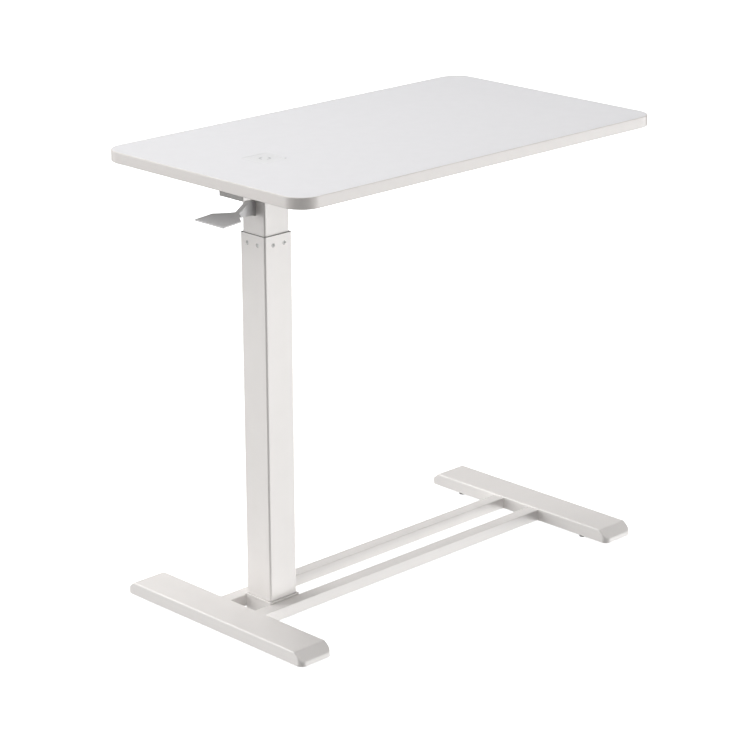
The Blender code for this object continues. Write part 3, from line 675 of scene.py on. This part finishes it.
def build_lever():
    """The pressed release lever: a channel into the column, with a flat paddle outside it."""
    low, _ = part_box("release_lever")
    tube_low, tube_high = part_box("inner_tube")
    pin_low, pin_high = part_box("lever_pivot_pin")
    pivot = (pin_low + pin_high) / 2
    x = (tube_low.x + tube_high.x) / 2
    half, wide, sheet, web = 0.0044, 0.0293, 0.0020, 0.0018
    neck_x, neck_z, flare_x, flare_z = x - 0.0505, 0.5970, x - 0.0700, 0.5940
    # The channel's side view: from the neck down, inward along the underside and back over the top.
    outline = [(neck_x, neck_z), (x - 0.0500, 0.5948), (x - 0.0478, 0.5898), (x + 0.0060, 0.5898)]
    outline += [(x + 0.0060, 0.5980), (x - 0.0080, 0.6070), (x - 0.0140, 0.6110)]
    outline.append((x - 0.0290, 0.6110))
    channel = loose("lever_pressing", moved(prism(outline, -half, half), SIDE_VIEW))

    # The paddle's cross sections, from the neck to the tip: place, half width, height of the top.
    stations = [(x - 0.0465, half, 0.5996), (neck_x, half, neck_z)]
    steps, bulge = 16, 1.25
    for i in range(1, steps):
        share = i / steps
        width = half + (wide - half) * share**bulge
        height = neck_z + (flare_z - neck_z) * share
        stations.append((neck_x + (flare_x - neck_x) * share, width, height))
    stations.append((flare_x, wide, flare_z))
    corner, tip_drop, tip_slope = 0.0016, 0.0038, 0.0001
    tip_z = pin_low.z - tip_drop
    for angle in (0, 22, 45, 67, 90):
        turn = math.radians(angle)
        width = wide - corner * (1 - math.cos(turn))
        height = tip_z + tip_slope * (1 - angle / 90)
        stations.append((low.x + corner * (1 - math.sin(turn)), width, height))
    paddle = bmesh.new()
    rings = []
    for px, width, pz in stations:
        section = ((width, pz), (width, pz - sheet), (-width, pz - sheet), (-width, pz))
        rings.append([paddle.verts.new((px, y, z)) for y, z in section])
    bridged(paddle, rings, False)
    paddle.faces.new(rings[0])
    paddle.faces.new(rings[-1])

    hollow = [(x - 0.0440, 0.5800), (x - 0.0040, 0.5800), (x - 0.0040, 0.6030)]
    hollow += [(x - 0.0140, 0.6088), (x - 0.0285, 0.6088), (x - 0.0440, 0.5986)]
    inside = moved(prism(hollow, web - half, half - web), SIDE_VIEW)
    bore_radius, bore_reach = 0.0026, 0.02
    bore = peg((pivot.x, -bore_reach, pivot.z), (pivot.x, bore_reach, pivot.z), bore_radius, 32)
    shaped(channel, [inside, bore], [paddle])
    bevelled(channel, 0.0008, 3, 40)
    piece(channel, LEVER_PAINT, "lever", ("release_lever",))


# The base.


def build_feet():
    """The two pressed foot covers, open underneath, with a sloping facet at each end."""
    # Faces that point down this steeply are the open underside.
    downward = -0.9
    reach = 0.006
    for end, inward in (("column_end", 1), ("far_end", -1)):
        node, name = "foot_" + end, "foot_cover_" + end
        low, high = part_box(node)
        size = high - low
        centre = (low + high) / 2
        solid = prism(rounded(size.x, size.y, FOOT_CORNER, 12), 0.0, size.z)
        for way in (-1, 1):
            slope = Vector((0, way * FACET_DROP, FACET_RUN)).normalized()
            edge = Vector((0, way * (size.y / 2 - FACET_RUN), size.z))
            whole = list(solid.verts) + list(solid.edges) + list(solid.faces)
            cut = bmesh.ops.bisect_plane(
                solid, geom=whole, plane_co=edge, plane_no=slope, clear_outer=True
            )
            rim = [item for item in cut["geom_cut"] if isinstance(item, bmesh.types.BMEdge)]
            bmesh.ops.contextual_create(solid, geom=rim)
        bmesh.ops.recalc_face_normals(solid, faces=solid.faces)
        under = [face for face in solid.faces if face.normal.z < downward]
        bmesh.ops.delete(solid, geom=under, context="FACES_ONLY")
        shell = loose(name, moved(solid, at(centre.x, centre.y, low.z)))
        bevelled(shell, FOOT_EDGE, 5, 25)
        skin = shell.modifiers.new("skin", "SOLIDIFY")
        skin.thickness = FOOT_WALL
        skin.offset = -1
        skin.use_even_offset = True
        settle(shell)
        cuts = []
        wall_x = high.x if inward > 0 else low.x
        for side in ("front", "rear"):
            beam_low, beam_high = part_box("beam_" + side)
            hole = (beam_low + beam_high) / 2
            outer, inner = (wall_x - reach, hole.y, hole.z), (wall_x + reach, hole.y, hole.z)
            cuts.append(peg(outer, inner, BOLT_HOLE, 24))
        shaped(shell, cuts)
        piece(shell, PAINT, "base", (node,))


def build_beams():
    """The two long tubes of the base, threaded at the ends, with their bolts."""
    corner, edge, wall, bore_corner, plate = 0.0012, 0.0002, 0.0015, 0.0005, 0.006
    thread_radius, head_height = 0.0031, 0.0035
    for side in ("front", "rear"):
        low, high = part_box("beam_" + side)
        size = high - low
        centre = (low + high) / 2
        stand = at(0, centre.y, centre.z) @ END_VIEW
        beam = swept(size.y, size.z, corner, chamfered(low.x, high.x, edge), False, 8)
        beam = loose("base_beam_" + side, moved(beam, stand))
        inside = rounded(size.y - 2 * wall, size.z - 2 * wall, bore_corner, 3)
        inside = prism(inside, low.x + plate, high.x - plate)
        start, end = (low.x - PAST, centre.y, centre.z), (high.x + PAST, centre.y, centre.z)
        shaped(beam, [moved(inside, stand), peg(start, end, thread_radius, 24)])
        piece(beam, PAINT, "base", ("beam_" + side,))
        for foot, way in (("left", 1), ("right", -1)):
            node, name = f"foot_bolt_{foot}_{side}", f"foot_screw_{foot}_{side}"
            build_screw(node, name, (way, 0, 0), BOLT_SHANK, BOLT_PITCH, "base", head_height)


def build_column_foot():
    """The bent cross member, the plate under the column and the four bolts through both."""
    low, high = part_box("cross_member")
    wall, bend = 0.002, 0.0012
    outline = arc(low.x + bend, high.z - bend, bend, 180, 90, 5)
    outline += arc(high.x - bend, high.z - bend, bend, 90, 0, 5)
    outline += [(high.x, low.z), (high.x - wall, low.z), (high.x - wall, high.z - wall)]
    outline += [(low.x + wall, high.z - wall), (low.x + wall, low.z), (low.x, low.z)]
    cross = loose("cross_bracket", moved(prism(outline, low.y, high.y), SIDE_VIEW))

    plate_low, plate_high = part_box("column_base_plate")
    middle = (plate_low + plate_high) / 2
    size = plate_high - plate_low
    corner, spring_hole, head_height = 0.002, 0.0052, 0.0038
    profile = chamfered(plate_low.z, plate_high.z, PLATE_EDGE)
    plate = moved(swept(size.x, size.y, corner, profile, False, 6), at(middle.x, middle.y))
    plate = loose("base_plate", plate)
    holes = [(middle.x, middle.y, spring_hole)]
    for i in range(1, 5):
        node, name = f"column_bolt_{i}", f"column_screw_{i}"
        bolt_low, bolt_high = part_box(node)
        bolt = (bolt_low + bolt_high) / 2
        holes.append((bolt.x, bolt.y, BOLT_HOLE))
        build_screw(node, name, (0, 0, 1), BOLT_SHANK, BOLT_PITCH, "base", head_height)
    # The holes start inside the cross member's channel and end above the plate.
    into_channel, over_plate = 0.008, 0.004
    start, end = low.z + into_channel, plate_high.z + over_plate
    for obj in (cross, plate):
        shaped(obj, [peg((x, y, start), (x, y, end), radius, 28) for x, y, radius in holes])
    piece(cross, PAINT, "base", ("cross_member",))
    piece(plate, PAINT, "base", ("column_base_plate",))


def wheel_profile():
    """Half section of a caster wheel: tyre with round shoulders, a rim step and a hub boss."""
    half, tyre, shoulder = 0.00325, WHEEL_RADIUS, 0.0013
    profile = arc(tyre - shoulder, -half + shoulder, shoulder, -90, 0, 5)
    profile += arc(tyre - shoulder, half - shoulder, shoulder, 0, 90, 5)
    profile += [(tyre - 0.0022, half), (tyre - 0.0026, half - 0.0007), (0.0062, half - 0.0012)]
    profile += [(0.0052, half - 0.0010), (0.0046, half - 0.0002), (AXLE_BORE, half - 0.0002)]
    profile += [(AXLE_BORE, -half), (tyre - 0.0030, -half)]
    return profile


def build_caster(name):
    """A caster: mount and kingpin on the foot, swivelling hood and axle, and two wheels."""
    low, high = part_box(name + "_mount")
    centre = (low + high) / 2
    size = high - low
    thick, edge, corner = 0.0015, 0.0003, 0.004
    top = high.z
    mount = swept(size.x, size.y, corner, chamfered(top - thick, top, edge), False, 6)
    mount = loose(name + "_plate", moved(mount, at(centre.x, centre.y)))
    king_head, king_radius, king_thick, king_edge = 0.0042, 0.0026, 0.0012, 0.0004
    pin = [(0.0, low.z), (0.0036, low.z), (king_head, low.z + king_edge)]
    pin += [(king_head, low.z + king_thick), (king_radius, low.z + king_thick)]
    pin += [(king_radius, top - thick + 0.0005), (0.0, top - thick + 0.0005)]
    shaped(mount, (), [moved(turned(pin, 32), at(centre.x, centre.y))])
    piece(mount, ZINC, "base", (name + "_mount",))

    hub_low, hub_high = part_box(name + "_axle")
    hub = (hub_low + hub_high) / 2
    ahead = Vector((hub.x - centre.x, hub.y - centre.y, 0)).normalized()
    heading = math.degrees(math.atan2(ahead.y, ahead.x))
    # The hood is built about the kingpin with its wheels towards +X, then turned to its heading.
    boss_low, boss_high, boss = low.z + 0.0015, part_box(name + "_hood")[1].z, 0.0048
    boss_edge = 0.0006
    barrel = [(0.0, boss_low), (boss, boss_low), (boss, boss_high - boss_edge)]
    barrel += [(boss - boss_edge, boss_high), (0.0, boss_high)]
    hood = loose(name + "_housing", turned(barrel, 40))
    guard_radius, cheek = 0.0100, boss - 0.00015
    outline = arc(CASTER_TRAIL, WHEEL_RADIUS, guard_radius, -60, 95, 22)
    outline += [(0.0, boss_high - 0.0008), (0.0, boss_low), (0.0045, boss_low - 0.0030)]
    shaped(hood, (), [moved(prism(outline, -cheek, cheek), SIDE_VIEW)])
    king_bore, head_bore, across = 0.0027, 0.0047, 0.02
    cuts = [peg((0, 0, -0.001), (0, 0, 0.04), king_bore, 32)]
    cuts.append(peg((0, 0, -0.002), (0, 0, boss_low), head_bore, 32))
    start, end = (CASTER_TRAIL, -across, hub.z), (CASTER_TRAIL, across, hub.z)
    cuts.append(peg(start, end, AXLE_BORE, 24))
    shaped(hood, cuts)
    bevelled(hood, 0.0003, 2, 50)
    hood.data.transform(at(centre.x, centre.y) @ spun(heading))
    piece(hood, BLACK, name + "_swivel", (name + "_hood",))

    side = Vector((-ahead.y, ahead.x, 0))
    reach, radius, end = 0.01055, 0.0020, 0.0004
    pin = [(0.0, 0.0), (radius - end, 0.0), (radius, end)]
    pin += [(radius, 2 * reach - end), (radius - end, 2 * reach), (0.0, 2 * reach)]
    axle = moved(turned(pin, 28), along(side, hub - side * reach))
    piece(loose(name + "_spindle", axle), ZINC, name + "_swivel", (name + "_axle",))

    pocket_place, pocket_floor, pocket_end, pocket_radius = 0.0075, 0.0016, 0.006, 0.0011
    for label in ("a", "b"):
        wheel_low, wheel_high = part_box(f"{name}_wheel_{label}")
        middle = (wheel_low + wheel_high) / 2
        stand = along((middle - hub).normalized(), middle)
        wheel = loose(f"{name}_roller_{label}", moved(turned(wheel_profile(), 56, True), stand))
        pockets = []
        for turn in range(0, 360, 60):
            inner, outer = (pocket_place, 0, pocket_floor), (pocket_place, 0, pocket_end)
            pockets.append(moved(peg(inner, outer, pocket_radius, 16), stand @ spun(turn)))
        shaped(wheel, pockets)
        body = f"{name}_wheel_{label}_body"
        piece(wheel, BLACK, body, (f"{name}_wheel_{label}",))


# What stays as CAD inside the column.


def dress_inner_parts():
    """Gives the parts inside the column, which keep their CAD mesh, a finish."""
    finishes = (
        (DARK, ("gas_spring_cylinder",)),
        (GLIDE, ("gas_spring_guide", "lower_glide")),
        (CHROME, ("piston_rod", "release_pin")),
        (ZINC, ("piston", "rod_clip", "spring_nut", "spring_plate")),
    )
    for look, nodes in finishes:
        for node in nodes:
            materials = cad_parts[node].data.materials
            materials.clear()
            materials.append(look)


build_board()
build_band()
build_label()
build_arm()
build_bars()
build_tubes()
build_glide()
build_lever()
build_feet()
build_beams()
build_column_foot()
for foot_name in ("left", "right"):
    for end_name in ("front", "rear"):
        build_caster(f"caster_{foot_name}_{end_name}")
dress_inner_parts()


# The studio.


def build_floor():
    """A plain white floor that glows, so no shadow shows on it.

    Bounced light and reflections pass it by, so it doesn't change how the pieces look.
    """
    bm = bmesh.new()
    half_side = 40
    bmesh.ops.create_grid(bm, x_segments=1, y_segments=1, size=half_side)
    floor = loose("studio_floor", bm)
    look = bpy.data.materials.new("floor_white")
    look.use_nodes = True
    shader = look.node_tree.nodes["Principled BSDF"]
    shader.inputs["Base Color"].default_value = (0.9, 0.9, 0.9, 1.0)
    shader.inputs["Roughness"].default_value = 0.9
    shader.inputs["Emission Color"].default_value = (1.0, 1.0, 1.0, 1.0)
    shader.inputs["Emission Strength"].default_value = 1.0
    floor.data.materials.append(look)
    floor.visible_diffuse = False
    floor.visible_glossy = False
    floor.visible_shadow = False


def build_light(name, azimuth, elevation, strength, spread):
    """A soft distant light from a direction in degrees; azimuth 0 is +X and 90 is +Y."""
    data = bpy.data.lights.new(name, "SUN")
    data.energy = strength
    data.angle = math.radians(spread)
    lamp = bpy.data.objects.new(name, data)
    a, e = math.radians(azimuth), math.radians(elevation)
    source = Vector((math.cos(a) * math.cos(e), math.sin(a) * math.cos(e), math.sin(e)))
    lamp.rotation_euler = source.to_track_quat("Z", "Y").to_euler()
    bpy.context.scene.collection.objects.link(lamp)


def build_panel(name, place, target, side, watts):
    """A square soft panel near the object, turned to a point."""
    data = bpy.data.lights.new(name, "AREA")
    data.energy = watts
    data.size = side
    lamp = bpy.data.objects.new(name, data)
    lamp.location = place
    lamp.rotation_euler = (Vector(target) - Vector(place)).to_track_quat("-Z", "Y").to_euler()
    lamp.visible_camera = False
    bpy.context.scene.collection.objects.link(lamp)


def build_world():
    """A white surround that only the camera sees, so it adds no light."""
    world = bpy.data.worlds.new("studio")
    bpy.context.scene.world = world
    world.use_nodes = True
    background = world.node_tree.nodes["Background"]
    background.inputs["Color"].default_value = (1.0, 1.0, 1.0, 1.0)
    background.inputs["Strength"].default_value = 1.0
    world.cycles_visibility.diffuse = False
    world.cycles_visibility.glossy = False


def build_camera():
    """The viewpoint: in front of the column end, above the top."""
    place = (-2.5178, -2.5457, 1.4944)
    heading, tilt, roll = -44.769, 71.742, -0.065
    data = bpy.data.cameras.new("view")
    data.sensor_width = 36.0
    data.lens = 126.93
    data.shift_x = -0.0278
    data.shift_y = -0.0036
    data.clip_end = 100.0
    camera = bpy.data.objects.new("view", data)
    turn = spun(heading) @ Matrix.Rotation(math.radians(tilt), 4, "X") @ spun(roll)
    camera.matrix_world = Matrix.Translation(place) @ turn
    bpy.context.scene.collection.objects.link(camera)
    bpy.context.scene.camera = camera


build_floor()
# The lights' strengths come from a fit of their sum to the shading of the photograph's faces.
build_light("left_softbox", 120, 10, 1.85, 50)
build_light("right_wash", 330, -12, 1.9, 36)
build_light("back_top", 60, 60, 1.4, 50)
build_light("camera_fill", 225, 35, 1.05, 50)
build_light("front_floor_glow", 300, -12, 0.9, 36)
build_light("left_top", 120, 45, 0.63, 36)
build_light("left_floor_glow", 135, -20, 0.5, 50)
build_light("left_wash", 150, 12, 0.25, 36)
build_light("camera_floor_glow", 225, -20, 0.12, 50)
build_panel("overhead_panel", (-0.5, 0.3, 1.75), (-0.2, 0.0, 0.64), 0.8, 3.6)
build_world()
build_camera()
bpy.context.scene.view_settings.view_transform = "Standard"
